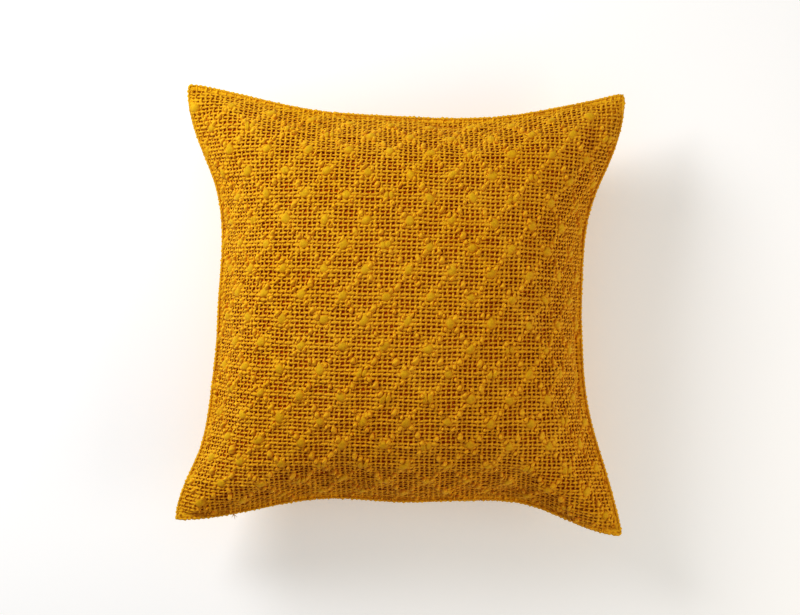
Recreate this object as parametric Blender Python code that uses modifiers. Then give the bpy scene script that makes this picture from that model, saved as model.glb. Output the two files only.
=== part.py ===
"""A square knife-edge cushion in openwork cotton, lying on its back.

The two panels are sewn edge to edge and filled, so their sides draw in between pointed corners.
Metres, +Z up. The face looks up, and the top edge of the face points along +Y. The origin is on
the surface that the cushion rests on, under the middle of its box.
"""

from collections import namedtuple

import bmesh
import bpy
import numpy as np

# Driving sizes
COVER_SIDE = 0.500  # each panel, seam to seam, before it is filled
FACE_CROWN = 0.096  # rise of the face above the seam
BACK_CROWN = 0.092  # depth of the back below the seam, if nothing pressed on it
PRESSED_IN = 0.014  # how much of that depth the surface takes up
PRESS_ROUNDING = 0.004  # height over which the back curves into its flat spot
SEAM_THICKNESS = 0.005  # the two turned-in edges of the panels, sewn together
SEAM_HEIGHT = BACK_CROWN - PRESSED_IN

# The crown's section is (1 - distance ** CROWN_FLATNESS) ** CROWN_EDGE
CROWN_FLATNESS = 2.3  # more is flatter over the middle
CROWN_EDGE = 0.60  # less is steeper beside the seam

# Cage: rows of faces from seam to seam, drawn closer together beside the seams
CAGE_ROWS = 18
ROWS_TOWARDS_SEAM = 0.55
SMOOTHING_LEVELS = 1

# Each corner's place from the middle as shares of the cover's side, and its lift off the seam's level
Corner = namedtuple("Corner", "across up lift")
NEAR_LEFT = Corner(across=-0.4995, up=-0.4855, lift=-0.005)
NEAR_RIGHT = Corner(across=0.5040, up=-0.4985, lift=0.002)
FAR_RIGHT = Corner(across=0.4865, up=0.4935, lift=-0.002)
FAR_LEFT = Corner(across=-0.4905, up=0.4915, lift=0.004)

# How far each side is drawn in from the line between its corners, in millimetres.
# Near and far run from left to right, and left and right run from near to far.
DrawnIn = namedtuple("DrawnIn", "along near right far left")
DRAWN_IN = (
    DrawnIn(0.00, 0.0, 0.0, 0.0, 0.0),
    DrawnIn(0.08, 4.5, 10.0, 7.0, 8.5),
    DrawnIn(0.16, 13.0, 21.5, 15.5, 26.5),
    DrawnIn(0.24, 23.5, 34.5, 23.5, 34.5),
    DrawnIn(0.32, 31.0, 43.5, 29.5, 37.5),
    DrawnIn(0.40, 32.5, 46.0, 31.0, 42.0),
    DrawnIn(0.50, 29.0, 48.5, 32.5, 41.5),
    DrawnIn(0.60, 33.5, 46.5, 33.5, 44.5),
    DrawnIn(0.68, 35.0, 45.0, 32.0, 44.0),
    DrawnIn(0.76, 36.5, 35.5, 27.5, 37.5),
    DrawnIn(0.84, 24.0, 17.0, 19.0, 20.0),
    DrawnIn(0.92, 7.5, 4.0, 10.5, 5.0),
    DrawnIn(1.00, 0.0, 0.0, 0.0, 0.0),
)

# Soft dents where the filling doesn't reach into the corners: place, as shares of the way from the
# middle to the seam, radius and depth in millimetres
Dent = namedtuple("Dent", "across up radius depth")
DENTS = (
    Dent(across=-0.90, up=0.74, radius=30, depth=5.0),
    Dent(across=0.84, up=0.78, radius=34, depth=5.5),
    Dent(across=0.88, up=-0.72, radius=32, depth=5.0),
    Dent(across=-0.84, up=-0.80, radius=30, depth=4.5),
    Dent(across=0.18, up=0.93, radius=26, depth=3.5),
    Dent(across=0.30, up=-0.92, radius=30, depth=4.0),
    Dent(across=-0.34, up=-0.93, radius=24, depth=3.0),
    Dent(across=0.93, up=-0.08, radius=26, depth=3.0),
)

MILLIMETRE = 0.001
MUSTARD = (0.521, 0.213, 0.006, 1.0)
COTTON_ROUGHNESS = 0.92


def clear_scene():
    for thing in list(bpy.data.objects):
        bpy.data.objects.remove(thing, do_unlink=True)


def smooth_through(places, values, at):
    """Reads a curve that passes smoothly through the table's points."""
    slopes = np.gradient(values, places)
    row = int(np.clip(np.searchsorted(places, at) - 1, 0, len(places) - 2))
    span = places[row + 1] - places[row]
    t = (at - places[row]) / span
    rise = values[row + 1] - values[row]
    start = slopes[row] * span
    end = slopes[row + 1] * span
    return values[row] + t * (start + t * (3 * rise - 2 * start - end + t * (start + end - 2 * rise)))


def corner_place(corner):
    return np.array([corner.across, corner.up, 0.0]) * COVER_SIDE + [0, 0, corner.lift]


def seam_point(side, start, end, inward, along):
    """A point on one side's seam, drawn in from the straight line between its corners."""
    places = [row.along for row in DRAWN_IN]
    depths = [getattr(row, side) * MILLIMETRE for row in DRAWN_IN]
    depth = smooth_through(places, depths, along)
    a = corner_place(start)
    b = corner_place(end)
    return a + (b - a) * along + np.array(inward) * depth


def seam_level(across, up):
    """The sheet stretched between the four seams, at shares of the way across and up (0 to 1)."""
    near = seam_point("near", NEAR_LEFT, NEAR_RIGHT, (0, 1, 0), across)
    far = seam_point("far", FAR_LEFT, FAR_RIGHT, (0, -1, 0), across)
    left = seam_point("left", NEAR_LEFT, FAR_LEFT, (1, 0, 0), up)
    right = seam_point("right", NEAR_RIGHT, FAR_RIGHT, (-1, 0, 0), up)
    between_near_and_far = near * (1 - up) + far * up
    between_left_and_right = left * (1 - across) + right * across
    low = corner_place(NEAR_LEFT) * (1 - across) + corner_place(NEAR_RIGHT) * across
    high = corner_place(FAR_LEFT) * (1 - across) + corner_place(FAR_RIGHT) * across
    return between_near_and_far + between_left_and_right - low * (1 - up) - high * up


def crown(u, v):
    """The share of the full crown at u and v, which run from -1 to 1 between the seams."""
    section_u = max(0.0, 1 - abs(u) ** CROWN_FLATNESS) ** CROWN_EDGE
    section_v = max(0.0, 1 - abs(v) ** CROWN_FLATNESS) ** CROWN_EDGE
    return section_u * section_v


def dent_depth(u, v):
    depth = 0.0
    for dent in DENTS:
        away = np.hypot(u - dent.across, v - dent.up) * COVER_SIDE / 2
        depth += dent.depth * MILLIMETRE * np.exp(-((away / (dent.radius * MILLIMETRE)) ** 2))
    return depth * (1 - max(abs(u), abs(v)) ** 12)


def rest_on_surface(height):
    """Keeps the back from reaching below the surface, with a soft bend into the flat spot."""
    if height >= PRESS_ROUNDING:
        return height
    if height <= -PRESS_ROUNDING:
        return 0.0
    return (height + PRESS_ROUNDING) ** 2 / (4 * PRESS_ROUNDING)


def towards_seam(t):
    """Moves the cage's rows towards the seams, where the crown is steepest."""
    return (1 - ROWS_TOWARDS_SEAM) * t + ROWS_TOWARDS_SEAM * np.sin(t * np.pi / 2)


def cushion_point(u, v, on_face):
    level = seam_level((u + 1) / 2, (v + 1) / 2)
    share = crown(u, v)
    if on_face:
        rise = SEAM_THICKNESS / 2 + FACE_CROWN * share - dent_depth(u, v)
        height = SEAM_HEIGHT + level[2] + rise
    else:
        drop = SEAM_THICKNESS / 2 + BACK_CROWN * share
        height = rest_on_surface(SEAM_HEIGHT + level[2] * (1 - share) - drop)
    return level[0], level[1], height


def add_panel(cage, height):
    """One flat panel of the cage, 2 by 2, with its outer edges returned for the seam."""
    panel = bmesh.ops.create_grid(cage, x_segments=CAGE_ROWS, y_segments=CAGE_ROWS, size=1)
    for point in panel["verts"]:
        point.co.z = height
    own = set(panel["verts"])
    return [edge for edge in cage.edges if edge.is_boundary and edge.verts[0] in own]


def cushion_mesh():
    cage = bmesh.new()
    face_edges = add_panel(cage, 1.0)
    back_edges = add_panel(cage, -1.0)
    bmesh.ops.bridge_loops(cage, edges=face_edges + back_edges)
    for point in cage.verts:
        u = towards_seam(point.co.x)
        v = towards_seam(point.co.y)
        point.co = cushion_point(u, v, on_face=point.co.z > 0)
    bmesh.ops.recalc_face_normals(cage, faces=cage.faces)
    mesh = bpy.data.meshes.new("cushion")
    cage.to_mesh(mesh)
    cage.free()
    mesh.shade_smooth()
    return mesh


def cotton():
    material = bpy.data.materials.new("mustard_cotton")
    material.use_nodes = True
    shader = material.node_tree.nodes["Principled BSDF"]
    shader.inputs["Base Color"].default_value = MUSTARD
    shader.inputs["Roughness"].default_value = COTTON_ROUGHNESS
    shader.inputs["Metallic"].default_value = 0.0
    material.diffuse_color = MUSTARD
    return material


def centre_over_origin(thing):
    """Moves the object so that the middle of its smoothed box is over the origin."""
    bpy.context.view_layer.update()
    smoothed = thing.evaluated_get(bpy.context.evaluated_depsgraph_get())
    corners = np.array([corner[:] for corner in smoothed.bound_box])
    middle = (corners.min(axis=0) + corners.max(axis=0)) / 2
    thing.location = (-middle[0], -middle[1], -corners[:, 2].min())


def build_cushion():
    collection = bpy.data.collections.new("cotton_cushion")
    bpy.context.scene.collection.children.link(collection)
    cushion = bpy.data.objects.new("cushion", cushion_mesh())
    collection.objects.link(cushion)
    cushion.data.materials.append(cotton())
    smoothing = cushion.modifiers.new("smoothing", "SUBSURF")
    smoothing.levels = SMOOTHING_LEVELS
    smoothing.render_levels = SMOOTHING_LEVELS
    centre_over_origin(cushion)
    bpy.context.view_layer.update()


clear_scene()
build_cushion()
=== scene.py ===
"""The looks of a mustard cotton cushion: openwork cloth, yarn by yarn, over its filled form.

Lengths on the flat cloth are in millimetres, across and up from the middle of a panel.
Everything that is placed in the scene is in metres.
"""

import math
from collections import namedtuple

import bmesh
import bpy
import numpy as np
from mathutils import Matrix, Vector
from mathutils.bvhtree import BVHTree
from mathutils.kdtree import KDTree


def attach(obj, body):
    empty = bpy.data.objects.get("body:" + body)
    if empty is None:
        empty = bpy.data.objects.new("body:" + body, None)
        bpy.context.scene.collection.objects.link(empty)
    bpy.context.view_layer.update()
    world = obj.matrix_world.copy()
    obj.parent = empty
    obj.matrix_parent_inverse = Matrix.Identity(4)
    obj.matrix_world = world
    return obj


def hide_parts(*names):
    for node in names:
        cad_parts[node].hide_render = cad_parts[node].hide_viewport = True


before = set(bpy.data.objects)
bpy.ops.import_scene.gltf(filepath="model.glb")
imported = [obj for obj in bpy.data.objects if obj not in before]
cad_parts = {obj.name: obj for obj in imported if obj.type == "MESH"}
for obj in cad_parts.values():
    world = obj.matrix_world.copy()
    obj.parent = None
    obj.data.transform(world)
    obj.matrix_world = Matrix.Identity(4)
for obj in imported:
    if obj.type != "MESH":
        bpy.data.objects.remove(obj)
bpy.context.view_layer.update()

MM = 0.001
chance = np.random.default_rng(58)

# The flat panel and its weave, in millimetres
COVER_SIDE = 500.0
END_PITCH = 5.65
ENDS_IN_REPEAT = 8
DOT_PITCH = END_PITCH * ENDS_IN_REPEAT
ROW_PITCH = 26.5
FACE_DOT = (5.4, -14.3)  # one dot's place on the face
BACK_DOT = (-9.0, 6.0)  # and on the back, which was cut elsewhere from the cloth

# The picks from one row of dots to the next: height above the row, thickness and lift
Pick = namedtuple("Pick", "up plump lift")
PICKS = (
    Pick(up=1.9, plump=1.22, lift=0.15),
    Pick(up=6.6, plump=1.00, lift=0.0),
    Pick(up=11.1, plump=1.00, lift=0.0),
    Pick(up=15.5, plump=1.00, lift=0.0),
    Pick(up=19.9, plump=1.00, lift=0.0),
    Pick(up=24.6, plump=1.22, lift=0.15),
)

# Yarns: half widths and heights, and how far they pass over and under each other
WARP_HALF = (1.50, 1.05)
WEFT_HALF = (1.72, 1.00)
INTERLACE = 0.64
TWIST_LEAN = (0.34, 0.20)  # sideways throw of the floats of warp and weft, from the yarn's twist
PLY_LENGTH = 4.4  # of yarn from one crossing to the next, where its two plies make half a turn
LAST_YARN = 3.6  # from the seam to the middle of the outermost yarn
NEAREST_PICK = 1.5  # a pick nearer to the seam than this is left out
DRAWN_REACH = 30.0  # how far in the yarns are moved, so that they lie evenly beside the seam

# A yarn's thickness along its way, as shares of its half sizes
OPEN_WIDTH = 0.92  # in the open patches
RIB_WIDENING = 0.34
DOT_WIDENING = 0.28
WIDENED_AREA = 75  # round a dot, in square millimetres
SUNK_SIZE = 0.90  # where it passes under another yarn, and in the gaps
FLOAT_WIDENING = 0.16  # how much more than that it has where it passes over
FLOAT_RISE = 0.20
END_SIZE = 0.6  # where it runs into the seam

# How uneven the yarns are: over how many crossings and gaps they wander, and how far
Wander = namedtuple("Wander", "reach size")
LEAN_WANDER = Wander(reach=5, size=0.14)
WIDTH_WANDER = Wander(reach=3, size=0.09)
RIB_WANDER = Wander(reach=2, size=0.35)
HEIGHT_WANDER = Wander(reach=3, size=0.14)
WIDTH_JITTER = 0.05
HEIGHT_JITTER = 0.07

# One panel's warp or weft, with a row for each yarn and a column for each crossing, or for each
# crossing and gap: places, sign, half sizes, thickness, lean and lift
YarnSet = namedtuple("YarnSet", "name is_warp across up sign half weight throw raised")

# What a dot does to the yarns round it
PRESSED_DOWN = 1.0
DOT_BED = (4.2, 5.0)  # half sizes of the place where they are pressed down
PUSHED_ASIDE = 1.1
PUSH_REACH = 8.0
PUSH_CORE = 3.0  # closer to the dot's middle than this, the push fades out

# Tone, from 0 where the colour is deepest to 1 where it is palest: painted shade low in the weave and in
# the creases, painted light on the floats and the ribs
YARN_TONE = 0.62
# painted light on the higher floats, painted shade on the sunk parts
PAINTED_SHADE_BY_HEIGHT = 0.24
# painted light on the raised ribs
PAINTED_LIGHT_ON_RIBS = 0.18
# beside the seam the yarns get less painted shade
LESS_PAINTED_SHADE_AT_SEAM = 0.35
# painted shade in the creases of the face
PAINTED_CREASE_SHADE = -0.5
END_TONE = 1.2  # where it runs into the seam

# A yarn's four sides, from the one below
SIDES = 4
SIDE_TURNS = (-90, 0, 90, 180)
PAINTED_SIDE_SHADING = (-0.5, -0.14, 0.22, -0.14)  # what each adds to the yarn's tone: painted shade below and at the sides, painted light on top
STRIP_START = 0.04  # of each side's strip of the UV map
STRIP_WIDTH = 0.92
YARN_APART = 3.7  # how far two yarns lie apart in the noise of their fibres

# The dots: half sizes and rise above the cloth's middle, and how much each varies
DOT_HALF = (6.2, 6.7)
DOT_RISE = 2.45
DOT_VARIES = (0.8, 0.8, 0.6, 0.7, 0.25)  # across, up, wide, tall and rise
SPLIT_SHARE = 0.16  # of the dots are parted by a slit
SplitHalf = namedtuple("SplitHalf", "across up wide tall width_varies")
SPLIT_HALVES = (
    SplitHalf(across=-2.7, up=-0.5, wide=3.6, tall=6.6, width_varies=0.0),
    SplitHalf(across=2.7, up=0.3, wide=3.4, tall=5.8, width_varies=0.5),
)
EDGE_MARGIN = 5  # no dot or slub has its middle nearer to the seam than this

# Slubs on the diagonals between the dots: share of the way down, half sizes and rise
Slub = namedtuple("Slub", "share wide tall rise")
SLUBS = (
    Slub(share=0.27, wide=2.5, tall=3.5, rise=3.3),
    Slub(share=0.55, wide=3.1, tall=4.7, rise=4.1),
    Slub(share=0.78, wide=2.8, tall=3.9, rise=3.7),
)
SLUB_VARIES = (1.5, 1.3, 0.18, 0.35)  # across, up, size and rise
SLUBS_KEPT = 0.86  # share of them that are there

# The two diagonals down from a dot, with the size and the rise of the slubs on each
Diagonal = namedtuple("Diagonal", "way size rise")
DIAGONALS = (
    Diagonal(way=-1, size=0.92, rise=0.82),
    Diagonal(way=1, size=1.0, rise=1.0),
)

# Shapes shared by the dots and the slubs, with painted shade at each rim and the lit colour on top
Puffs = namedtuple("Puffs", "across up wide tall rise")
PuffKind = namedtuple("PuffKind", "sectors rings roundness tones")
DOT_KIND = PuffKind(sectors=18, rings=6, roundness=(1.3, 2.2), tones=(0.0, 0.95))
SLUB_KIND = PuffKind(sectors=8, rings=3, roundness=(2.0, 2.6), tones=(-0.1, 1.00))
PUFF_SHEAR = (0.16, 0.16)  # how far each leans, and how much that varies
PUFF_TAPER = (0.12, 0.16)  # how much it narrows upwards, and how much that varies
PUFF_WAVE = 0.07  # unevenness of its outline
RING_SPACING = 0.8  # less than 1 draws the rings towards the rim
DOME_FLATNESS = 2.8  # more is flatter on top
DOME_EDGE = 0.55  # less is steeper at the rim
DOME_TILT = (-0.16, 0.10)  # across and up
STREAK_RISE = 0.10
STREAK_CLOSENESS = 2.6  # radians of its wave to a millimetre
STREAK_START = 40  # sets each puff's streaks apart
PUFF_APART = 2.3  # how far two puffs lie apart in the noise of their fibres
PUFF_ROOT = -0.9  # height of its rim, between the yarns
PUFF_MARGIN = 0.8  # it ends this far from the seam

# Relief of the cloth
RELIEF = 0.5  # height of the soft swell under each dot
RIB_WIDTH = 0.15  # as a share of the pitch of the dots
RIB_RISE = 0.15
ROW_RISE = 0.40  # height of the soft ridge along each row of dots
CRINKLE = 0.50  # height of the cloth's uneven crinkles
CRINKLE_REACH = 1  # cells of the net
DRIFT = 0.24  # how far the yarns stray from their places
DRIFT_REACH = 2
LOWEST = 0.95  # the cloth's middle comes no nearer to the form than this
CLOTH_MIDDLE = 1.35  # height of the cloth's middle above the filled form
CLOTH_DEPTH = 3.2  # how far the filled form lies inside the solid
SEAM_REACH = 8.0  # from the seam inwards, where the cloth reaches its full height

# The filled form
VOXEL = 0.006
PRESSURE = 4.0
SIM_FRAMES = 20
SIM_QUALITY = 5
SWELL_CAP = 0.005
WELD = 0.00001
RIM_POINTS = 160
RIM_FADE = 0.018  # from the seam inwards, where the form reaches its full depth
LEAST_DEPTH = 0.1  # and the share of that depth that it has at the seam itself
SIDEWAYS = 0.05  # a normal's height, under which that side of the form looks sideways
OFF_THE_SURFACE = 0.0002  # no piece reaches lower than this

# Soft folds pressed into the face, in plan: their ends, half width and depth. The yarns sink into
# a crease along the middle of the fold.
Fold = namedtuple("Fold", "start_x start_y end_x end_y width depth crease")
FOLDS = (
    Fold(20, 203.4, 62, 202, 4.0, 3.4, 1.0),
    Fold(60, -197, 136, -195, 3.5, 3.0, 0.5),
    Fold(72, -205, 128, -203, 3.0, 2.4, 0.4),
    Fold(191, -18, 196, -96, 4.0, 3.0, 0.5),
    Fold(196, 171, 214, 221, 8.0, 3.4, 0.0),
    Fold(-218, 169, -226, 215, 6.0, 2.6, 0.0),
)
CREASE_WIDTH = 1.5  # half of it

# The tuft of thread ends that hangs out of the near seam: turn in degrees, length and droop
ThreadEnd = namedtuple("ThreadEnd", "turn length droop")
THREAD_ENDS = (
    ThreadEnd(turn=-42, length=4.6, droop=0.6),
    ThreadEnd(turn=4, length=6.2, droop=1.4),
    ThreadEnd(turn=38, length=5.2, droop=0.2),
)
TUFT_ACROSS = -183.0
TUFT_SEARCH_STEP = 0.9  # between the places along the seam where it may hang
THREAD_STEPS = 9
THREAD_HALF = 0.55  # half its thickness where it starts
THREAD_NARROWS = 0.40  # and how much of that it loses towards its end
THREAD_ROOT = 2  # how far inside the seam it starts
THREAD_TONE = 0.8

# Tubes just inside the seam: the panels' turned-in edges, and the beads where their yarns fold over.
# Step and inset, and the half sizes with how much they vary from bead to bead.
SeamTube = namedtuple("SeamTube", "name step inset wide wide_varies tall tall_varies")
SEAM_TUBES = (
    SeamTube("turned_in_edges", step=4.5, inset=5.4, wide=4.6, wide_varies=0.3, tall=0.9, tall_varies=0.3),
    SeamTube("seam", step=2.6, inset=1.5, wide=1.55, wide_varies=0.60, tall=1.55, tall_varies=0.50),
)
BEAD_JITTER = 0.5
SEAM_TONE = (1.2, 0.2)  # the second is how much it varies from bead to bead

# The net of points that lays each panel on the form, refined in steps
NetStep = namedtuple("NetStep", "cells rounds")
NET_STEPS = (
    NetStep(cells=25, rounds=220),
    NetStep(cells=50, rounds=70),
    NetStep(cells=100, rounds=24),
)
FIRST_RISE = 0.08  # of the first net, towards its side of the form
SEAM_CASTS = 161  # rays that read each side of the seam from the solid
CAST_REACH = 0.1  # on either side of the straight line between the corners


def unit(vectors):
    return vectors / np.maximum(np.linalg.norm(vectors, axis=-1, keepdims=True), 1e-12)


def read_points(mesh, field):
    flat = np.empty(len(mesh.vertices) * 3)
    mesh.vertices.foreach_get(field, flat)
    return flat.reshape(-1, 3)


def points_of(mesh):
    return read_points(mesh, "co")


def move_points(mesh, points):
    mesh.vertices.foreach_set("co", points.ravel())
    mesh.update()


def add_object(name, data):
    made = bpy.data.objects.new(name, data)
    bpy.context.scene.collection.objects.link(made)
    return made


def evaluated(piece):
    """The piece as its modifiers make it."""
    bpy.context.view_layer.update()
    return piece.evaluated_get(bpy.context.evaluated_depsgraph_get())


# The filled form


def kept_above(points):
    """Presses flat what would reach below the surface that the cushion lies on."""
    points[..., 2] = np.maximum(points[..., 2], OFF_THE_SURFACE)
    return points


def copy_of_solid(name):
    """The solid's mesh, with its triangles joined along their edges."""
    welded = bmesh.new()
    welded.from_mesh(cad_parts["cushion"].data)
    bmesh.ops.remove_doubles(welded, verts=welded.verts, dist=WELD)
    mesh = bpy.data.meshes.new(name)
    welded.to_mesh(mesh)
    welded.free()
    return add_object(name, mesh)


def applied(piece):
    """Replaces the piece's mesh by what its modifiers make of it."""
    mesh = bpy.data.meshes.new_from_object(evaluated(piece))
    piece.modifiers.clear()
    piece.data = mesh


def swell(piece):
    """Fills the form with air pressure, and caps how far its points move."""
    before = points_of(piece.data)
    filling = piece.modifiers.new("filling", "CLOTH")
    filling.settings.quality = SIM_QUALITY
    filling.settings.use_pressure = True
    filling.settings.uniform_pressure_force = PRESSURE
    filling.settings.effector_weights.gravity = 0.0
    for number in range(1, SIM_FRAMES + 1):
        bpy.context.scene.frame_set(number)
    after = points_of(evaluated(piece).data)
    piece.modifiers.clear()
    bpy.context.scene.frame_set(1)
    move = after - before
    length = np.linalg.norm(move, axis=1, keepdims=True)
    move_points(piece.data, before + move * np.minimum(1.0, SWELL_CAP / np.maximum(length, 1e-9)))


def from_seam(points):
    """How far each point is from the seam."""
    rim = KDTree(4 * RIM_POINTS)
    for number, point in enumerate(np.concatenate(list(seam_loop(RIM_POINTS).values()))):
        rim.insert(point, number)
    rim.balance()
    return np.array([rim.find(point)[2] for point in points])


def draw_in(piece, depth):
    """Moves the form inside the solid by the cloth's depth, and keeps it off the surface below."""
    normals = read_points(piece.data, "normal")
    points = points_of(piece.data)
    faded = depth * np.clip(from_seam(points) / RIM_FADE, LEAST_DEPTH, 1)
    points = points - normals * faded[:, None]
    points[:, 2] = np.maximum(points[:, 2], depth)
    move_points(piece.data, points)


def from_fold(fold, points):
    """Distance in plan from the middle line of a fold, in millimetres."""
    start = np.array([fold.start_x, fold.start_y]) * MM
    way = np.array([fold.end_x, fold.end_y]) * MM - start
    share = np.clip((points[..., :2] - start) @ way / (way @ way), 0, 1)
    return np.linalg.norm(points[..., :2] - start - share[..., None] * way, axis=-1) / MM


def crease_at(points):
    """How far the yarns sink into the creases, in millimetres."""
    depth = np.zeros(points.shape[:-1])
    for fold in FOLDS:
        depth += fold.crease * np.exp(-((from_fold(fold, points) / CREASE_WIDTH) ** 2))
    return depth


def press_folds(piece):
    """Presses the soft folds into the face's side of the form."""
    normals = read_points(piece.data, "normal")
    points = points_of(piece.data)
    depth = np.zeros(len(points))
    for fold in FOLDS:
        depth += fold.depth * MM * np.exp(-((from_fold(fold, points) / fold.width) ** 2))
    depth *= normals[:, 2] > SIDEWAYS
    move_points(piece.data, points - normals * depth[:, None])


def filled_form():
    """The filling's form. Its tone gives it the yarn's lit colour along the seam, and farther in the
    inside's red-brown painted shade.
    """
    form = copy_of_solid("filled_form")
    form.modifiers.new("rounding", "SUBSURF").levels = 1
    remesh = form.modifiers.new("even_mesh", "REMESH")
    remesh.mode = "VOXEL"
    remesh.voxel_size = VOXEL
    applied(form)
    swell(form)
    draw_in(form, CLOTH_DEPTH * MM)
    form.modifiers.new("finer", "SUBSURF").levels = 1
    applied(form)
    press_folds(form)
    form.data.shade_smooth()
    away = from_seam(points_of(form.data))
    # painted shade on the form farther in from the seam, the lit yarn colour beside it
    add_values(form.data, "tone", 1 - np.clip(away / RIM_FADE - 1, 0, 1))
    return form


# The seam line, read from the solid


def corner_of(points, across, up):
    return points[np.argmax(points[:, 0] * across + points[:, 1] * up)]


def seam_between(surface, start, end, inward, count):
    """Points at equal steps along the seam between two corners, cast onto the solid's rim."""
    line = []
    for share in np.linspace(0, 1, SEAM_CASTS):
        along = start + (end - start) * share
        outside = Vector(along - np.array(inward) * CAST_REACH)
        hit = surface.ray_cast(outside, Vector(inward), 2 * CAST_REACH)[0]
        line.append(along if hit is None else np.array(hit))
    line[0] = start
    line[-1] = end
    line = np.array(line)
    steps = np.linalg.norm(np.diff(line, axis=0), axis=1)
    reached = np.concatenate([[0.0], np.cumsum(steps)])
    places = np.linspace(0, reached[-1], count)
    return np.stack([np.interp(places, reached, line[:, k]) for k in range(3)], axis=1)


def seam_loop(count):
    """The four sides of the seam, each from left to right or from near to far."""
    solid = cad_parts["cushion"].data
    points = points_of(solid)
    surface = BVHTree.FromPolygons(
        [v.co for v in solid.vertices], [tuple(p.vertices) for p in solid.polygons]
    )
    near_left = corner_of(points, -1, -1)
    near_right = corner_of(points, 1, -1)
    far_left = corner_of(points, -1, 1)
    far_right = corner_of(points, 1, 1)
    return {
        "near": seam_between(surface, near_left, near_right, (0, 1, 0), count),
        "far": seam_between(surface, far_left, far_right, (0, -1, 0), count),
        "left": seam_between(surface, near_left, far_left, (1, 0, 0), count),
        "right": seam_between(surface, near_right, far_right, (-1, 0, 0), count),
    }


# The panels, laid on the form


def stretched_between(seam):
    """A first net, stretched straight between the four seams."""
    count = len(seam["near"])
    s = np.linspace(0, 1, count)[:, None, None]
    t = np.linspace(0, 1, count)[None, :, None]
    near = seam["near"][:, None]
    far = seam["far"][:, None]
    left = seam["left"][None]
    right = seam["right"][None]
    between = near * (1 - t) + far * t + left * (1 - s) + right * s
    low = near[0] * (1 - s) + near[-1] * s
    high = far[0] * (1 - s) + far[-1] * s
    return between - low * (1 - t) - high * t


def refined(net):
    """The same net with twice as many cells."""
    count = len(net)
    finer = np.empty((2 * count - 1, 2 * count - 1, 3))
    finer[::2, ::2] = net
    finer[1::2, ::2] = (net[1:] + net[:-1]) / 2
    finer[:, 1::2] = (finer[:, 2::2] + finer[:, :-2:2]) / 2
    return finer


def half_surface(form, facing):
    """The face's or the back's side of the form, to search for the nearest point."""
    faces = [tuple(p.vertices) for p in form.data.polygons if p.normal.z * facing > -SIDEWAYS]
    return BVHTree.FromPolygons([v.co for v in form.data.vertices], faces)


def spread_evenly(net, surface, facing, rounds):
    """Lets the net slide over the surface until its cells share the stretch."""
    inner = net[1:-1, 1:-1]
    for _ in range(rounds):
        across = net[2:, 1:-1] - net[:-2, 1:-1]
        up = net[1:-1, 2:] - net[1:-1, :-2]
        outward = unit(np.cross(across, up))
        around = net[:-2, 1:-1] + net[2:, 1:-1] + net[1:-1, :-2] + net[1:-1, 2:]
        pull = around / 4 - inner
        pull -= (pull * outward).sum(-1, keepdims=True) * outward
        moved = (inner + pull).reshape(-1, 3)
        found = [surface.find_nearest(Vector(point))[0] for point in moved]
        inner[:] = np.array(found).reshape(inner.shape)


def soft_noise(shape, reach):
    """Smooth random values on the net, of about 1 either way."""
    kernel = np.exp(-((np.arange(-2 * reach, 2 * reach + 1) / reach) ** 2))
    rough = chance.normal(size=(shape[0] + 4 * reach, shape[1] + 4 * reach))
    smooth = np.apply_along_axis(np.convolve, 0, rough, kernel, "valid")
    smooth = np.apply_along_axis(np.convolve, 1, smooth, kernel, "valid")
    return (smooth / smooth.std())[..., None]


class Panel:
    """One panel of the cover, laid on the form. It turns places on the flat cloth into the scene's."""

    def __init__(self, form, facing, dot):
        self.facing = facing
        self.dot = dot
        surface = half_surface(form, facing)
        net = None
        for cells, rounds in NET_STEPS:
            seam = seam_loop(cells + 1)
            if net is None:
                net = stretched_between(seam)
                net[1:-1, 1:-1, 2] += FIRST_RISE * facing
            else:
                net = refined(net)
            net[:, 0] = seam["near"]
            net[:, -1] = seam["far"]
            net[0] = seam["left"]
            net[-1] = seam["right"]
            spread_evenly(net, surface, facing, rounds)
        self.cells = len(net) - 1
        self.net = net
        self.right = unit(np.gradient(net, axis=0))
        self.upward = unit(np.gradient(net, axis=1))
        self.outward = unit(np.cross(self.right, self.upward)) * facing
        shape = (self.cells + 1, self.cells + 1, 1)
        self.crinkle = soft_noise(shape, CRINKLE_REACH) * CRINKLE
        drift_across = soft_noise(shape, DRIFT_REACH)
        drift_up = soft_noise(shape, DRIFT_REACH)
        self.drift = np.concatenate([drift_across, drift_up], -1) * DRIFT

    def read(self, values, across, up):
        """Values of the net at places on the flat cloth."""
        x = np.clip((across / COVER_SIDE + 0.5) * self.cells, 0, self.cells - 1e-9)
        y = np.clip((up / COVER_SIDE + 0.5) * self.cells, 0, self.cells - 1e-9)
        i = x.astype(int)
        j = y.astype(int)
        a = (x - i)[..., None]
        b = (y - j)[..., None]
        low = values[i, j] * (1 - a) + values[i + 1, j] * a
        high = values[i, j + 1] * (1 - a) + values[i + 1, j + 1] * a
        return low * (1 - b) + high * b

    def place(self, across, up, height):
        """Scene points at places on the cloth, height millimetres above its middle."""
        fade = seam_fade(across, up)
        drift = self.read(self.drift, across, up) * fade[..., None]
        across = across + drift[..., 0]
        up = up + drift[..., 1]
        outward = unit(self.read(self.outward, across, up))
        point = self.read(self.net, across, up)
        relief = RELIEF * lattice(self, across, up) + RIB_RISE * ribs(self, across, up)
        relief = relief + ROW_RISE * np.cos(2 * math.pi * (up - self.dot[1]) / ROW_PITCH)
        relief = relief + self.read(self.crinkle, across, up)[..., 0]
        lift = fade * np.maximum(CLOTH_MIDDLE + relief, LOWEST) + height
        if self.facing > 0:
            lift = lift - crease_at(point)
        return point + outward * (lift * MM)[..., None]

    def frame_at(self, across, up):
        """The cloth's directions across, up and outwards at places on it."""
        right = unit(self.read(self.right, across, up))
        upward = unit(self.read(self.upward, across, up))
        outward = unit(self.read(self.outward, across, up))
        return right, upward, outward


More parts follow.
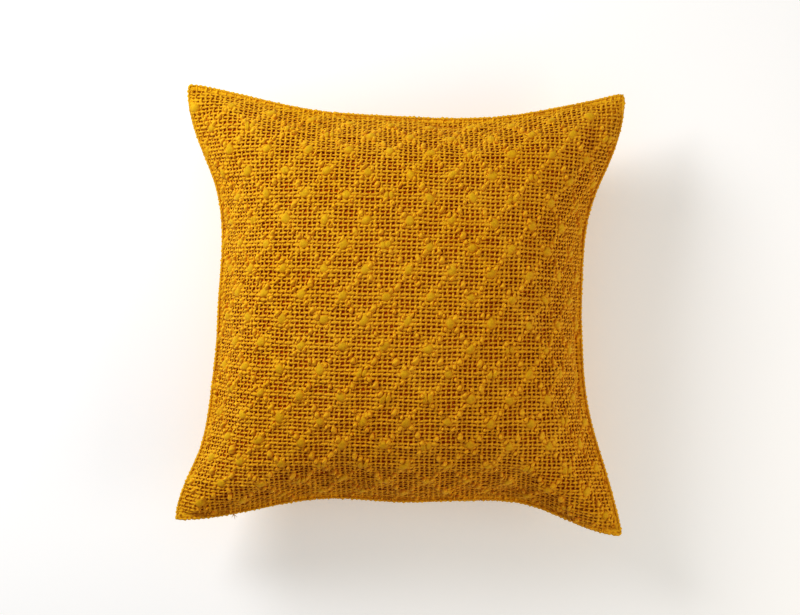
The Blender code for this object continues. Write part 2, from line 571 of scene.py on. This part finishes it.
def seam_fade(across, up):
    """0 on the seam and 1 away from it, where the cloth lies over the form."""
    inside = COVER_SIDE / 2 - np.maximum(np.abs(across), np.abs(up))
    return np.clip(inside / SEAM_REACH, 0, 1)


def lattice(panel, across, up):
    """1 at every dot, -1 in the middle of every open patch."""
    x = 2 * math.pi * (across - panel.dot[0]) / DOT_PITCH
    y = math.pi * (up - panel.dot[1]) / ROW_PITCH
    return np.cos(x) * np.cos(y)


def ribs(panel, across, up):
    """1 on the diagonals from dot to dot, and 0 in the open patches between them."""
    x = (across - panel.dot[0]) / DOT_PITCH
    y = (up - panel.dot[1]) / ROW_PITCH / 2
    rising = (x + y) - np.round(x + y)
    falling = (x - y) - np.round(x - y)
    nearest = np.minimum(np.abs(rising), np.abs(falling))
    return np.exp(-((nearest / RIB_WIDTH) ** 2))


def from_dot(panel, across, up):
    """The way from the nearest dot, in millimetres."""
    y = up - panel.dot[1]
    row = np.round(y / ROW_PITCH)
    x = across - panel.dot[0] - np.where(row % 2 == 1, DOT_PITCH / 2, 0.0)
    return x - np.round(x / DOT_PITCH) * DOT_PITCH, y - row * ROW_PITCH


# The weave


def drawn_to_seams(places):
    """Moves the outermost yarns, so that the last one lies close beside each seam."""
    edge = COVER_SIDE / 2 - LAST_YARN
    low = -edge - places[0]
    high = edge - places[-1]
    from_low = np.clip(1 - (places - places[0]) / DRAWN_REACH, 0, 1)
    from_high = np.clip(1 - (places[-1] - places) / DRAWN_REACH, 0, 1)
    return places + low * from_low + high * from_high


def end_places(panel):
    first = math.ceil((-COVER_SIDE / 2 - panel.dot[0]) / END_PITCH - 0.5)
    last = math.floor((COVER_SIDE / 2 - panel.dot[0]) / END_PITCH - 0.5)
    numbers = np.arange(first, last + 1)
    return numbers, drawn_to_seams(panel.dot[0] + (numbers + 0.5) * END_PITCH)


def pick_places(panel):
    """Numbers, places, thicknesses and lifts of all the picks that fit on the panel."""
    rows = math.ceil(COVER_SIDE / ROW_PITCH)
    found = []
    for row in range(-rows, rows):
        for k, pick in enumerate(PICKS):
            up = panel.dot[1] + row * ROW_PITCH + pick.up
            if abs(up) < COVER_SIDE / 2 - NEAREST_PICK:
                found.append((row * len(PICKS) + k, up, pick.plump, pick.lift))
    numbers, places, plump, lift = np.array(found).T
    return numbers, drawn_to_seams(places), plump, lift


def with_gaps(places):
    """The crossings and the gaps between them, from seam to seam."""
    gaps = np.concatenate([[-COVER_SIDE / 2], (places[1:] + places[:-1]) / 2, [COVER_SIDE / 2]])
    along = np.empty(2 * len(places) + 1)
    along[::2] = gaps
    along[1::2] = places
    return along


def wander(shape, kind):
    """Slow random change along each yarn."""
    kernel = np.exp(-(np.linspace(-2, 2, 4 * kind.reach + 1) ** 2))
    rough = chance.normal(size=(shape[0], shape[1] + len(kernel) - 1))
    smooth = np.array([np.convolve(row, kernel, "valid") for row in rough])
    return smooth / smooth.std() * kind.size


def along_yarn(crossings):
    """Values at the crossings, and halfway between two of them in the gaps."""
    values = np.zeros((crossings.shape[0], 2 * crossings.shape[1] + 1))
    values[:, 1::2] = crossings
    values[:, 2:-1:2] = (crossings[:, 1:] + crossings[:, :-1]) / 2
    return values


def leaning(throw):
    """Leans each float: its start to one side and its end to the other."""
    lean = np.zeros((throw.shape[0], 2 * throw.shape[1] + 1))
    lean[:, 0:-1:2] -= throw
    lean[:, 2::2] += throw
    lean[:, 0] = 0
    lean[:, -1] = 0
    return lean


def strips_of(count, length):
    """A UV strip for each side of each yarn, from one end to the other."""
    strip = (np.arange(count)[:, None, None] + (np.arange(SIDES) + STRIP_START) / SIDES) / count
    next_strip = strip + STRIP_WIDTH / SIDES / count
    low = np.linspace(0, 1, length)[None, :-1, None]
    high = np.linspace(0, 1, length)[None, 1:, None]
    shape = (count, length - 1, SIDES)
    corners = []
    for u, v in ((strip, low), (next_strip, low), (next_strip, high), (strip, high)):
        corners.append(np.stack([np.broadcast_to(u, shape), np.broadcast_to(v, shape)], -1))
    return np.stack(corners, -2)


def tube_mesh(name, middle, sideways, outward, half_width, half_height, tone):
    """Yarns of four sides: one tube for each row of middle."""
    count, length = middle.shape[:2]
    turn = np.radians(SIDE_TURNS)
    ring = sideways[:, :, None] * (half_width[..., None] * np.cos(turn))[..., None]
    ring = ring + outward[:, :, None] * (half_height[..., None] * np.sin(turn))[..., None]
    points = kept_above(middle[:, :, None] + ring * MM)
    number = np.arange(count * length * SIDES).reshape(count, length, SIDES)
    after = np.roll(number, -1, axis=2)
    sides = np.stack([number[:, :-1], after[:, :-1], after[:, 1:], number[:, 1:]], axis=-1)
    mesh = mesh_from(name, points.reshape(-1, 3), sides.reshape(-1, 4))
    uv = strips_of(count, length)
    mesh.uv_layers.new(name="OFBake").uv.foreach_set("vector", uv.astype(np.float32).ravel())
    # painted shade on each yarn's underside and sides, painted light on its top
    add_values(mesh, "tone", np.repeat(tone[..., None], SIDES, axis=2) + PAINTED_SIDE_SHADING)
    yarn = np.broadcast_to(np.arange(count)[:, None, None], number.shape)
    around = np.broadcast_to(np.arange(SIDES), number.shape)
    along = np.broadcast_to(np.arange(length)[None, :, None] * PLY_LENGTH / 2, number.shape)
    add_values(mesh, "fibre", np.stack([around / SIDES, along, yarn * YARN_APART], -1))
    return mesh


def mesh_from(name, points, faces):
    """A smooth mesh of faces that all have the same number of corners."""
    corners = faces.shape[1]
    mesh = bpy.data.meshes.new(name)
    mesh.vertices.add(len(points))
    mesh.vertices.foreach_set("co", np.ascontiguousarray(points, np.float32).ravel())
    mesh.loops.add(faces.size)
    mesh.loops.foreach_set("vertex_index", np.ascontiguousarray(faces, np.int32).ravel())
    mesh.polygons.add(len(faces))
    mesh.polygons.foreach_set("loop_start", np.arange(0, faces.size, corners, dtype=np.int32))
    mesh.update(calc_edges=True)
    mesh.shade_smooth()
    return mesh


def add_values(mesh, name, values):
    """Numbers, one or three for each point, that the materials read."""
    threefold = values.shape[-1] == 3 and values.size == 3 * len(mesh.vertices)
    kind = "FLOAT_VECTOR" if threefold else "FLOAT"
    field = "vector" if threefold else "value"
    layer = mesh.attributes.new(name, kind, "POINT")
    layer.data.foreach_set(field, np.ascontiguousarray(values, np.float32).ravel())


def add_piece(name, mesh, material):
    piece = add_object(name, mesh)
    mesh.materials.append(material)
    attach(piece, "root")


def under_dots(panel, across, up):
    """How far the yarns are pressed down under each dot."""
    x, y = from_dot(panel, across, up)
    return -PRESSED_DOWN * np.exp(-(((x / DOT_BED[0]) ** 2 + (y / DOT_BED[1]) ** 2) ** 2))


def aside_from_dots(panel, across, up):
    """Sideways push that the dots give the yarns beside them."""
    x, y = from_dot(panel, across, up)
    away = np.hypot(x, y) + 1e-6
    push = PUSHED_ASIDE * np.exp(-((away / PUSH_REACH) ** 2)) * np.clip(away / PUSH_CORE, 0, 1)
    return push * x / away, push * y / away


def yarn_sets(panel, side):
    """The warp and the weft. Their sign is 1 where they pass over and -1 where they pass under."""
    end_numbers, ends = end_places(panel)
    pick_numbers, picks, plump, lift = pick_places(panel)
    over = np.where((end_numbers[:, None] + pick_numbers[None]) % 2 == 0, 1.0, -1.0)
    across, up = np.meshgrid(ends, with_gaps(picks), indexing="ij")
    raised = np.maximum(over, 0) * lift[None]
    even = np.ones((len(ends), 1))
    warp = YarnSet(f"warp_{side}", True, across, up, over, WARP_HALF, even, TWIST_LEAN[0], raised)
    up, across = np.meshgrid(picks, with_gaps(ends), indexing="ij")
    raised = np.broadcast_to(lift[:, None], over.T.shape)
    plump = plump[:, None]
    weft = YarnSet(f"weft_{side}", False, across, up, -over.T, WEFT_HALF, plump, TWIST_LEAN[1], raised)
    return warp, weft


def moved_yarns(panel, yarns, tops):
    """The yarns' places, with the lean of the floats and the push of the dots."""
    lean = leaning(tops * yarns.throw)
    lean[:, 1:-1] += wander((lean.shape[0], lean.shape[1] - 2), LEAN_WANDER)
    push_x, push_y = aside_from_dots(panel, yarns.across, yarns.up)
    if yarns.is_warp:
        return yarns.across + lean + push_x, yarns.up
    return yarns.across, yarns.up + lean + push_y


def yarn_halves(panel, yarns, across, up, bead):
    """Half widths and heights: wider on the ribs and round the dots, and thicker on the floats."""
    shape = across.shape
    uneven = 1 + wander(shape, WIDTH_WANDER) + WIDTH_JITTER * chance.normal(size=shape)
    by_ribs = RIB_WIDENING * ribs(panel, across, up) * (1 + wander(shape, RIB_WANDER))
    x, y = from_dot(panel, across, up)
    by_dots = DOT_WIDENING * np.exp(-(x**2 + y**2) / WIDENED_AREA)
    spread = OPEN_WIDTH + by_ribs + by_dots
    half_width = yarns.half[0] * yarns.weight * spread * uneven * (SUNK_SIZE + FLOAT_WIDENING * bead)
    half_height = yarns.half[1] * yarns.weight * (SUNK_SIZE + FLOAT_RISE * bead)
    return half_width, half_height


def painted_yarn_shading(panel, across, up, height, middle):
    """Painted light on the floats and the ribs, less painted shade beside the seam, and painted shade in
    the creases of the face.
    """
    tone = YARN_TONE + PAINTED_SHADE_BY_HEIGHT * height + PAINTED_LIGHT_ON_RIBS * ribs(panel, across, up)
    tone = tone + LESS_PAINTED_SHADE_AT_SEAM * (1 - seam_fade(across, up))
    if panel.facing > 0:
        tone = tone + PAINTED_CREASE_SHADE * crease_at(middle)
    return tone


def weave(panel, side, material):
    """The warp and the weft of one panel."""
    for yarns in yarn_sets(panel, side):
        tops = np.maximum(yarns.sign, 0)
        bead = np.zeros(yarns.across.shape)
        bead[:, 1::2] = tops
        across, up = moved_yarns(panel, yarns, tops)
        half_width, half_height = yarn_halves(panel, yarns, across, up, bead)
        height = along_yarn(yarns.sign * INTERLACE + yarns.raised) + under_dots(panel, across, up)
        jitter = wander(across.shape, HEIGHT_WANDER)
        height = height + jitter + HEIGHT_JITTER * chance.normal(size=across.shape)
        height = height * seam_fade(across, up)
        middle = panel.place(across, up, height)
        right, upward, outward = panel.frame_at(across, up)
        sideways = right if yarns.is_warp else upward
        tone = painted_yarn_shading(panel, across, up, height, middle)
        for end in (0, -1):
            tone[:, end] = END_TONE
            half_width[:, end] *= END_SIZE
            half_height[:, end] *= END_SIZE
        mesh = tube_mesh(yarns.name, middle, sideways, outward, half_width, half_height, tone)
        add_piece(yarns.name, mesh, material)


# The dots


def dot_places(panel):
    """The middles of the dots: every other row is moved by half a pitch."""
    rows = math.ceil(COVER_SIDE / ROW_PITCH) + 1
    columns = math.ceil(COVER_SIDE / DOT_PITCH) + 1
    places = []
    for row in range(-rows, rows):
        for column in range(-columns, columns):
            across = panel.dot[0] + column * DOT_PITCH + (row % 2) * DOT_PITCH / 2
            up = panel.dot[1] + row * ROW_PITCH
            if max(abs(across), abs(up)) < COVER_SIDE / 2 - EDGE_MARGIN:
                places.append((across, up))
    return np.array(places)


def dot_puffs(panel):
    """The dots as puffs. Some are parted into two by a slit."""
    puffs = []
    for across, up in dot_places(panel):
        x, y, wide, tall, rise = chance.normal(size=5) * DOT_VARIES
        across += x
        up += y
        rise += DOT_RISE
        if chance.random() < SPLIT_SHARE:
            for half in SPLIT_HALVES:
                half_wide = half.wide + half.width_varies * wide
                puffs.append((across + half.across, up + half.up, half_wide, half.tall + tall, rise))
        else:
            puffs.append((across, up, DOT_HALF[0] + wide, DOT_HALF[1] + tall, rise))
    return Puffs(*np.array(puffs).T[:, :, None])


def slub_puffs(panel):
    """The slubs in the warp, strung out on the diagonals between the dots."""
    puffs = []
    edge = COVER_SIDE / 2 - EDGE_MARGIN
    for across, up in dot_places(panel):
        for diagonal in DIAGONALS:
            for slub in SLUBS:
                x, y, size, rise = chance.normal(size=4) * SLUB_VARIES
                grown = diagonal.size + size
                rise += diagonal.rise * slub.rise
                place_x = across + diagonal.way * slub.share * DOT_PITCH / 2 + x
                place_y = up - slub.share * ROW_PITCH + y
                if max(abs(place_x), abs(place_y)) < edge and chance.random() < SLUBS_KEPT:
                    puffs.append((place_x, place_y, slub.wide * grown, slub.tall * grown, rise))
    return Puffs(*np.array(puffs).T[:, :, None])


def puff_faces(count, kind):
    """The faces of all puffs: bands of quads round a cap of triangles on each."""
    first = np.arange(count)[:, None, None] * (1 + kind.rings * kind.sectors)
    ring = 1 + (np.arange(kind.rings) * kind.sectors)[:, None] + np.arange(kind.sectors)[None]
    after = np.roll(ring, -1, axis=1)
    cap = np.stack([np.zeros(kind.sectors, int), ring[0], after[0]], -1)
    bands = np.stack([ring[:-1], ring[1:], after[1:], after[:-1]], -1).reshape(-1, 4)
    quads = (first + bands[None]).reshape(-1, 4)
    caps = (first + cap[None]).reshape(-1, 3)
    return quads.tolist() + caps.tolist()


def with_tops(values):
    """Adds the middle point of each puff, from which its rings spread."""
    return np.concatenate([np.zeros((len(values), 1)), values], axis=1)


def add_puffs(name, panel, puffs, kind, material):
    """Smooth domes of yarn, each leaning and shaped a little differently."""
    count = len(puffs.wide)
    power = chance.uniform(*kind.roundness, size=(count, 1))
    shear = PUFF_SHEAR[0] + PUFF_SHEAR[1] * chance.normal(size=(count, 1))
    taper = PUFF_TAPER[0] + PUFF_TAPER[1] * chance.normal(size=(count, 1))
    wave = 1 + PUFF_WAVE * chance.normal(size=(count, kind.sectors))
    turn = np.arange(kind.sectors) * 2 * math.pi / kind.sectors
    reach = np.abs(np.cos(turn)) ** power + np.abs(np.sin(turn)) ** power
    reach = wave * reach ** (-1 / power)
    out = (np.arange(1, kind.rings + 1) / kind.rings) ** RING_SPACING
    x = with_tops((out[None, :, None] * (reach * np.cos(turn))[:, None]).reshape(count, -1))
    y = with_tops((out[None, :, None] * (reach * np.sin(turn))[:, None]).reshape(count, -1))
    share = np.concatenate([[0.0], np.repeat(out, kind.sectors)])
    tilt = 1 + DOME_TILT[0] * x + DOME_TILT[1] * y
    dome = np.maximum(0.0, 1 - share**DOME_FLATNESS) ** DOME_EDGE * tilt
    x = x * (1 - taper * y) * puffs.wide
    y = y * puffs.tall
    x = x + shear * y
    streak = STREAK_RISE * np.sin(x * STREAK_CLOSENESS + puffs.rise * STREAK_START) * dome
    edge = COVER_SIDE / 2 - PUFF_MARGIN
    across = np.clip(puffs.across + x, -edge, edge)
    up = np.clip(puffs.up + y, -edge, edge)
    height = PUFF_ROOT + (puffs.rise - PUFF_ROOT) * dome + streak
    points = kept_above(panel.place(across, up, height))
    mesh = bpy.data.meshes.new(name)
    mesh.from_pydata(points.reshape(-1, 3).tolist(), [], puff_faces(count, kind))
    mesh.shade_smooth()
    # painted shade towards each puff's rim, the lit colour on its top
    low, high = kind.tones
    add_values(mesh, "tone", (low + (high - low) * dome)[..., None])
    number = np.broadcast_to(np.arange(count)[:, None] * PUFF_APART, x.shape)
    add_values(mesh, "fibre", np.stack([0.5 - x / puffs.wide / 4, y, number], -1))
    add_piece(name, mesh, material)


# The seam


def seam_path(panel, step):
    """Points at equal steps along the whole seam, closed, with the way outwards at each."""
    net = panel.net
    path = np.concatenate([net[:-1, 0], net[-1, :-1], net[:0:-1, -1], net[0, :0:-1], net[:1, 0]])
    steps = np.linalg.norm(np.diff(path, axis=0), axis=1)
    reached = np.concatenate([[0.0], np.cumsum(steps)])
    places = np.linspace(0, reached[-1], int(reached[-1] / step))
    path = np.stack([np.interp(places, reached, path[:, k]) for k in range(3)], axis=1)
    along = np.roll(path[:-1], -1, axis=0) - np.roll(path[:-1], 1, axis=0)
    outwards = unit(np.cross(along, [0.0, 0.0, 1.0]))
    return path, np.concatenate([outwards, outwards[:1]])


def seam_tube(panel, tube, material):
    """A tube just inside the seam, beaded along its way."""
    path, outwards = seam_path(panel, tube.step * MM)
    count = len(path)
    bead = np.where(np.arange(count) % 2 == 0, 1, -1) + BEAD_JITTER * chance.normal(size=count)
    bead[-1] = bead[0]
    path = path - outwards * tube.inset * MM
    lift = np.broadcast_to([0.0, 0.0, 1.0], path.shape)
    half_width = (tube.wide + tube.wide_varies * bead)[None]
    half_height = (tube.tall + tube.tall_varies * bead)[None]
    tone = (SEAM_TONE[0] + SEAM_TONE[1] * bead)[None]
    mesh = tube_mesh(tube.name, path[None], outwards[None], lift[None], half_width, half_height, tone)
    add_piece(tube.name, mesh, material)


def turned(way, degrees):
    """A level direction, turned on the level."""
    cosine = math.cos(math.radians(degrees))
    sine = math.sin(math.radians(degrees))
    return np.array([way[0] * cosine - way[1] * sine, way[0] * sine + way[1] * cosine, 0])


def thread_ends(panel, yarn):
    """A few tapered ends of thread, out of one place in the near seam."""
    path, outwards = seam_path(panel, TUFT_SEARCH_STEP * MM)
    on_far_side = path[:, 1] > 0
    found = np.argmin(np.abs(path[:, 0] - TUFT_ACROSS * MM) + on_far_side)
    share = np.linspace(0, 1, THREAD_STEPS)[:, None]
    middles = []
    sideways = []
    for end in THREAD_ENDS:
        out = turned(outwards[found], end.turn)
        bend = np.array([0, 0, -end.droop]) * share**2
        way = (out * (end.length + THREAD_ROOT) * share + bend) * MM
        middles.append(path[found] - out * (THREAD_ROOT * MM) + way)
        sideways.append([[-out[1], out[0], 0]] * THREAD_STEPS)
    middles = np.array(middles)
    half = np.broadcast_to(THREAD_HALF - THREAD_NARROWS * share[:, 0], middles.shape[:2])
    lift = np.broadcast_to([0.0, 0.0, 1.0], middles.shape)
    tone = np.full(half.shape, THREAD_TONE)
    mesh = tube_mesh("thread_ends", middles, np.array(sideways), lift, half, half, tone)
    add_piece("thread_ends", mesh, yarn)


# Materials

# The cotton's looks: the painted shade where it lies deep, the colour on top and in pale dyed
# patches, whether its plies show, depth of its bump and shine
Look = namedtuple("Look", "deep top pale twisted bump shine")
YARN_LOOK = Look(
    deep=(0.48, 0.130, 0.0002, 1.0),
    top=(0.83, 0.440, 0.004, 1.0),
    pale=(0.85, 0.465, 0.016, 1.0),
    twisted=True,
    bump=0.0005,
    shine=0.13,
)
DOT_LOOK = Look(
    deep=(0.50, 0.140, 0.0002, 1.0),
    top=(0.71, 0.400, 0.003, 1.0),
    pale=(0.72, 0.430, 0.010, 1.0),
    twisted=False,
    bump=0.0005,
    shine=0.10,
)
# The filled form seen through the holes: its deep colour is a painted shade of red-brown
INSIDE_LOOK = Look(
    deep=(0.62, 0.130, 0.0002, 1.0),
    top=(0.78, 0.400, 0.004, 1.0),
    pale=(0.78, 0.400, 0.004, 1.0),
    twisted=False,
    bump=0.0003,
    shine=0.0,
)

# Noises in the cotton: how fine they are, and the range that each is stretched to
USUAL_NOISE = (0.30, 0.70)  # nearly all of a noise's values lie between these
FINE_DETAIL = 3.0
PATCH_SCALE = 18.0
PATCH_RANGE = (0.0, 0.55)  # share of the pale colour
FLECK_SCALE = 420.0
FLECK_RANGE = (0.86, 1.12)  # of the colour's brightness
ROUGHNESS_SCALE = 160.0
ROUGHNESS_RANGE = (0.62, 0.80)
FIBRE_STRETCH = (14.0, 0.4, 1.0)  # close together round the yarn, and long along it
BUMP_STRENGTH = 0.8

# The grooves between a yarn's plies
PLIES = 2.0
PLY_SCALE = 120.0
PLY_UNEVENNESS = 0.4  # of a turn
GROOVE_DEPTH = 0.5
PAINTED_GROOVE_SHADE = 0.30  # painted shade: how much deeper the colour is made in them

# The floor
FLOOR_SCALE = 3.0
FLOOR_SHADES = ((0.90, 0.915, 0.94, 1.0), (0.92, 0.935, 0.96, 1.0))
FLOOR_ROUGHNESS = 0.9
FLOOR_SHINE = 0.1
WHITE = (1.0, 1.0, 1.0, 1.0)
FLOOR_GLOW = 0.20


def new_material(name):
    """A material with its node tree and its shader."""
    material = bpy.data.materials.new(name)
    material.use_nodes = True
    return material, material.node_tree, material.node_tree.nodes["Principled BSDF"]


def node(tree, kind, **settings):
    made = tree.nodes.new(kind)
    for name, value in settings.items():
        setattr(made, name, value)
    return made


def set_input(made, name, value):
    made.inputs[name].default_value = value


def feed(tree, socket, value):
    """Gives an input a link from another socket, or a plain value."""
    if isinstance(value, bpy.types.NodeSocket):
        tree.links.new(value, socket)
    else:
        socket.default_value = value


def mix_colours(tree, share, first, second, how="MIX"):
    """A colour between two others; each may be a socket or a plain colour."""
    mix = node(tree, "ShaderNodeMix", data_type="RGBA", blend_type=how)
    feed(tree, mix.inputs["Factor"], share)
    feed(tree, mix.inputs[6], first)
    feed(tree, mix.inputs[7], second)
    return mix.outputs[2]


def noise(tree, place, scale, detail=2.0):
    made = node(tree, "ShaderNodeTexNoise")
    tree.links.new(place, made.inputs["Vector"])
    set_input(made, "Scale", scale)
    set_input(made, "Detail", detail)
    return made.outputs["Fac"]


def ranged(tree, value, low, high):
    """Stretches a noise, which stays near its middle, to run from low to high."""
    made = node(tree, "ShaderNodeMapRange")
    tree.links.new(value, made.inputs["Value"])
    set_input(made, "From Min", USUAL_NOISE[0])
    set_input(made, "From Max", USUAL_NOISE[1])
    set_input(made, "To Min", low)
    set_input(made, "To Max", high)
    return made.outputs["Result"]


def joined(tree, operation, first, second):
    """One step of arithmetic between two sockets or numbers."""
    step = node(tree, "ShaderNodeMath", operation=operation)
    feed(tree, step.inputs[0], first)
    feed(tree, step.inputs[1], second)
    return step.outputs["Value"]


def plies(tree, fibre, unevenness):
    """The slanted grooves of two twisted plies, high halfway between two crossings."""
    parts = node(tree, "ShaderNodeSeparateXYZ")
    tree.links.new(fibre, parts.inputs["Vector"])
    turned_round = joined(tree, "MULTIPLY", parts.outputs["X"], PLIES)
    along = joined(tree, "DIVIDE", parts.outputs["Y"], PLY_LENGTH)
    uneven = joined(tree, "MULTIPLY", unevenness, PLY_UNEVENNESS)
    phase = joined(tree, "ADD", joined(tree, "ADD", turned_round, along), uneven)
    wave = joined(tree, "SINE", joined(tree, "MULTIPLY", phase, 2 * math.pi), 0.0)
    return joined(tree, "MULTIPLY", wave, GROOVE_DEPTH)


def shade_and_dye(tree, tone, place, look):
    """Painted shade low in the weave and paler on top, in uneven patches and with fine flecks."""
    clamped = node(tree, "ShaderNodeClamp")
    tree.links.new(tone, clamped.inputs["Value"])
    depth = clamped.outputs["Result"]
    # painted shade where the tone is low, the lit colour where it is high
    colour = mix_colours(tree, depth, look.deep, look.top)
    patches = ranged(tree, noise(tree, place, PATCH_SCALE), *PATCH_RANGE)
    patches = joined(tree, "MULTIPLY", patches, depth)
    colour = mix_colours(tree, patches, colour, look.pale)
    flecks = ranged(tree, noise(tree, place, FLECK_SCALE, FINE_DETAIL), *FLECK_RANGE)
    grey = node(tree, "ShaderNodeCombineColor")
    for channel in ("Red", "Green", "Blue"):
        tree.links.new(flecks, grey.inputs[channel])
    return mix_colours(tree, 1.0, colour, grey.outputs["Color"], "MULTIPLY")


def fibres(tree, fibre):
    """Fine lines along the yarn."""
    stretched = node(tree, "ShaderNodeVectorMath", operation="MULTIPLY")
    tree.links.new(fibre, stretched.inputs[0])
    stretched.inputs[1].default_value = FIBRE_STRETCH
    return noise(tree, stretched.outputs["Vector"], 1.0, FINE_DETAIL)


def cotton(name, look):
    """Matt dyed cotton, with painted light and shade set by its tone."""
    material, tree, shader = new_material(name)
    tone = node(tree, "ShaderNodeAttribute", attribute_name="tone").outputs["Fac"]
    fibre = node(tree, "ShaderNodeAttribute", attribute_name="fibre").outputs["Vector"]
    place = node(tree, "ShaderNodeTexCoord").outputs["Object"]
    surface = fibres(tree, fibre)
    if look.twisted:
        grooves = plies(tree, fibre, noise(tree, place, PLY_SCALE))
        # painted shade in the grooves between the plies, painted light on their ridges
        tone = joined(tree, "ADD", tone, joined(tree, "MULTIPLY", grooves, PAINTED_GROOVE_SHADE))
        surface = joined(tree, "ADD", grooves, surface)
    tree.links.new(shade_and_dye(tree, tone, place, look), shader.inputs["Base Color"])
    bump = node(tree, "ShaderNodeBump")
    set_input(bump, "Strength", BUMP_STRENGTH)
    set_input(bump, "Distance", look.bump)
    tree.links.new(surface, bump.inputs["Height"])
    tree.links.new(bump.outputs["Normal"], shader.inputs["Normal"])
    rough = ranged(tree, noise(tree, place, ROUGHNESS_SCALE), *ROUGHNESS_RANGE)
    tree.links.new(rough, shader.inputs["Roughness"])
    set_input(shader, "Specular IOR Level", look.shine)
    return material


def floor_material():
    """Matt white, lit a little from within like a light table, so that its shadows stay pale."""
    material, tree, shader = new_material("pale_floor")
    place = node(tree, "ShaderNodeTexCoord").outputs["Object"]
    shade = ranged(tree, noise(tree, place, FLOOR_SCALE), 0.0, 1.0)
    tree.links.new(mix_colours(tree, shade, *FLOOR_SHADES), shader.inputs["Base Color"])
    set_input(shader, "Roughness", FLOOR_ROUGHNESS)
    set_input(shader, "Specular IOR Level", FLOOR_SHINE)
    set_input(shader, "Emission Color", WHITE)
    set_input(shader, "Emission Strength", FLOOR_GLOW)
    return material


# The studio

FLOOR_SIZE = 12.0
FLOOR_LEVEL = -0.0005
SKY_COLOUR = (1.0, 0.965, 0.92, 1.0)
SKY_STRENGTH = 0.38

Lamp = namedtuple("Lamp", "name place size power colour")
LAMPS = (
    Lamp("key", place=(-1.12, 0.92, 0.92), size=0.70, power=22.5, colour=(1.0, 1.0, 1.0)),
    Lamp("fill", place=(1.45, -0.45, 0.80), size=1.0, power=10.0, colour=(1.0, 0.90, 0.74)),
)
LAMPS_AIM = (0, 0, 0.08)

# The photograph's view: straight at the face, turned a little
SEAM_HEIGHT = 0.078
VIEW_WIDTH = 0.888  # of the photograph at the seam's height
VIEW_MIDDLE = (-0.0038, 0.0023)
VIEW_TURN = 1.3  # degrees
CAMERA_DISTANCE = 2.4
SENSOR_WIDTH = 36.0
NEAREST_SEEN = 0.05
FARTHEST_SEEN = 30.0

# The print's curves: each level and how it is shown
GREEN_CURVE = 1
COMMON_CURVE = 3
PRINT_CURVES = {
    COMMON_CURVE: ((0.18, 0.150), (0.50, 0.485)),
    GREEN_CURVE: ((0.03, 0.016), (0.10, 0.078), (0.25, 0.238), (0.45, 0.450)),
}


def studio():
    """A pale floor, strong soft light from the far left, and weaker, warmer light from the right."""
    bpy.ops.mesh.primitive_plane_add(size=FLOOR_SIZE, location=(0, 0, FLOOR_LEVEL))
    floor = bpy.context.object
    floor.name = "floor"
    floor.data.materials.append(floor_material())

    world = bpy.data.worlds.new("studio")
    bpy.context.scene.world = world
    world.use_nodes = True
    background = world.node_tree.nodes["Background"]
    set_input(background, "Color", SKY_COLOUR)
    set_input(background, "Strength", SKY_STRENGTH)

    for lamp in LAMPS:
        add_lamp(lamp)


def add_lamp(lamp):
    light = bpy.data.lights.new(lamp.name, "AREA")
    light.shape = "SQUARE"
    light.size = lamp.size
    light.energy = lamp.power
    light.color = lamp.colour
    thing = add_object(lamp.name, light)
    thing.location = lamp.place
    aim = Vector(LAMPS_AIM) - Vector(lamp.place)
    thing.rotation_euler = aim.to_track_quat("-Z", "Y").to_euler()


def camera():
    data = bpy.data.cameras.new("camera")
    data.sensor_width = SENSOR_WIDTH
    data.lens = SENSOR_WIDTH * CAMERA_DISTANCE / VIEW_WIDTH
    data.clip_start = NEAREST_SEEN
    data.clip_end = FARTHEST_SEEN
    thing = add_object("camera", data)
    thing.location = (*VIEW_MIDDLE, SEAM_HEIGHT + CAMERA_DISTANCE)
    thing.rotation_euler = (0, 0, math.radians(VIEW_TURN))
    bpy.context.scene.camera = thing


def print_look():
    """Plain colours with the soft toe of a studio print, deeper in green, as shaded cotton looks redder.
    """
    look = bpy.context.scene.view_settings
    look.view_transform = "Standard"
    look.use_curve_mapping = True
    for number, points in PRINT_CURVES.items():
        for level, shown in points:
            look.curve_mapping.curves[number].points.new(level, shown)
    look.curve_mapping.update()


def cover_side(form, side, facing, dot, yarn, puff):
    """One panel of the cover with its weave, dots and slubs. Facing is 1 up and -1 down."""
    panel = Panel(form, facing, dot)
    weave(panel, side, yarn)
    add_puffs(f"dots_{side}", panel, dot_puffs(panel), DOT_KIND, puff)
    add_puffs(f"slubs_{side}", panel, slub_puffs(panel), SLUB_KIND, yarn)
    return panel


def cushion():
    form = filled_form()
    yarn = cotton("mustard_yarn", YARN_LOOK)
    puff = cotton("mustard_dots", DOT_LOOK)
    inside = cotton("mustard_inside", INSIDE_LOOK)
    form.data.materials.clear()
    form.data.materials.append(inside)
    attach(form, "root")
    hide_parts("cushion")
    face = cover_side(form, "face", 1, FACE_DOT, yarn, puff)
    cover_side(form, "back", -1, BACK_DOT, yarn, puff)
    for tube in SEAM_TUBES:
        seam_tube(face, tube, yarn)
    thread_ends(face, yarn)


studio()
camera()
cushion()
print_look()
